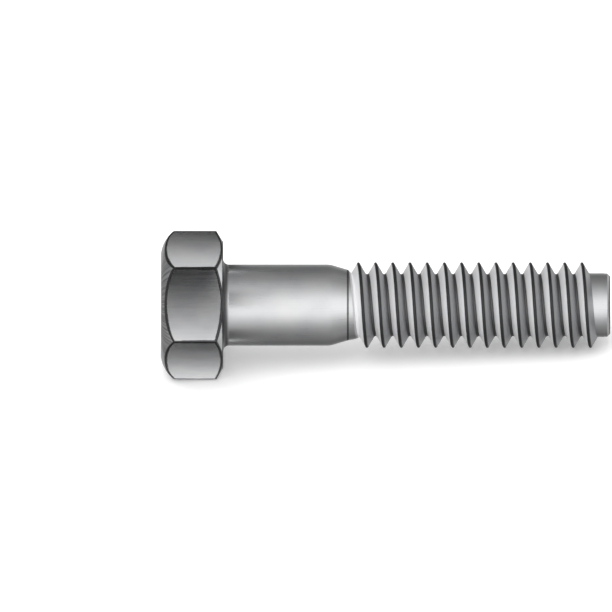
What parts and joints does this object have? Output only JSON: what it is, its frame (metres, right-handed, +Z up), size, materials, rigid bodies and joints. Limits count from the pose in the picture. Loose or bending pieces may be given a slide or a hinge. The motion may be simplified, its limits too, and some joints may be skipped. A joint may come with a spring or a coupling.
{
  "type": "hex head screw",
  "caption": "Hex head screw: a crowned hexagonal head with radial grade marks, a plain shank, a tapered neck, a right-hand thread and a plain tip.",
  "frame": {"origin": "centre of the bearing face, on the screw's own axis", "axes": "The screw lies at rest with a flat of its head down. Its axis runs from the head at -X to the tip at +X and dips 3.35 degrees towards the tip. +Z is up."},
  "size_m": [0.0334, 0.011, 0.0098],
  "materials": {
    "screw_steel": "bright zinc-plated steel, as rolled, with fine turned lines"
  },
  "bodies": {
    "root": {"hex_screw": "screw_steel"}
  },
  "joints": []
}
